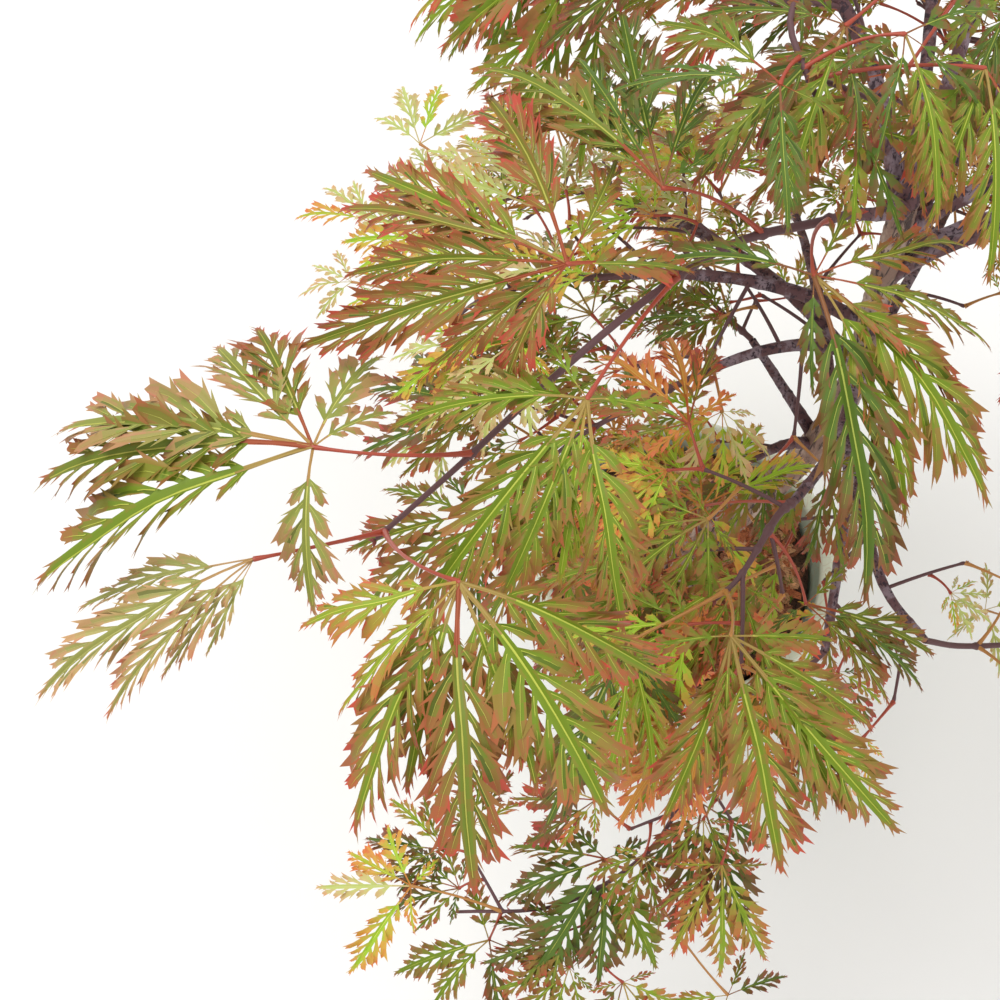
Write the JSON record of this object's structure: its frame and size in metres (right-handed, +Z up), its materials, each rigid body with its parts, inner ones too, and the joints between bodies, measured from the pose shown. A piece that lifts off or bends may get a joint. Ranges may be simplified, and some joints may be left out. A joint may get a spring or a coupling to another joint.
{
  "type": "potted japanese maple",
  "caption": "Young laceleaf Japanese maple: a crooked trunk with arching boughs and weeping sprays of finely cut leaves, in a tapering glazed pot.",
  "frame": {"origin": "centre of the pot's flat underside", "axes": "+Z up along the pot's axis, +X to the picture's right, +Y away from the viewer"},
  "size_m": [0.5113, 0.5095, 0.665],
  "materials": {
    "glaze": "celadon glaze, fine crackle, buff rim where it has run thin",
    "mulch": "rough reddish-brown bark chips over potting mix, with bits of green moss",
    "bark": "grey-pink young bark, mottled, finely fissured near the foot",
    "young_bark": "smooth purple-grey young bark with raised leaf scars",
    "foliage": "satin leaf, lime veins, green blade, bronze margin and crimson tips"
  },
  "bodies": {
    "root": {"pot": "glaze", "soil": "mulch", "trunk": "bark", "bough_front_left": "young_bark", "foliage_front_left": "foliage", "bough_top": "young_bark", "foliage_top": "foliage", "bough_back_left": "young_bark", "foliage_back_left": "foliage", "bough_right": "young_bark", "foliage_right": "foliage", "bough_back_right": "young_bark", "foliage_back_right": "foliage", "bough_back": "young_bark", "foliage_back": "foliage", "bough_front_right": "young_bark", "foliage_front_right": "foliage", "bough_front": "young_bark", "foliage_front": "foliage", "bough_mid_left": "young_bark", "foliage_mid_left": "foliage", "bough_left": "young_bark", "foliage_left": "foliage", "bough_mid_right": "young_bark", "foliage_mid_right": "foliage", "bough_mid_back": "young_bark", "foliage_mid_back": "foliage", "bough_low_front": "young_bark", "foliage_low_front": "foliage", "bough_inner_front": "young_bark", "foliage_inner_front": "foliage", "bough_low_right": "young_bark", "foliage_low_right": "foliage", "bough_low_back_left": "young_bark", "foliage_low_back_left": "foliage", "bough_inner_back": "young_bark", "foliage_inner_back": "foliage", "bough_low_back": "young_bark", "foliage_low_back": "foliage", "bough_low_back_right": "young_bark", "foliage_low_back_right": "foliage"}
  },
  "joints": []
}
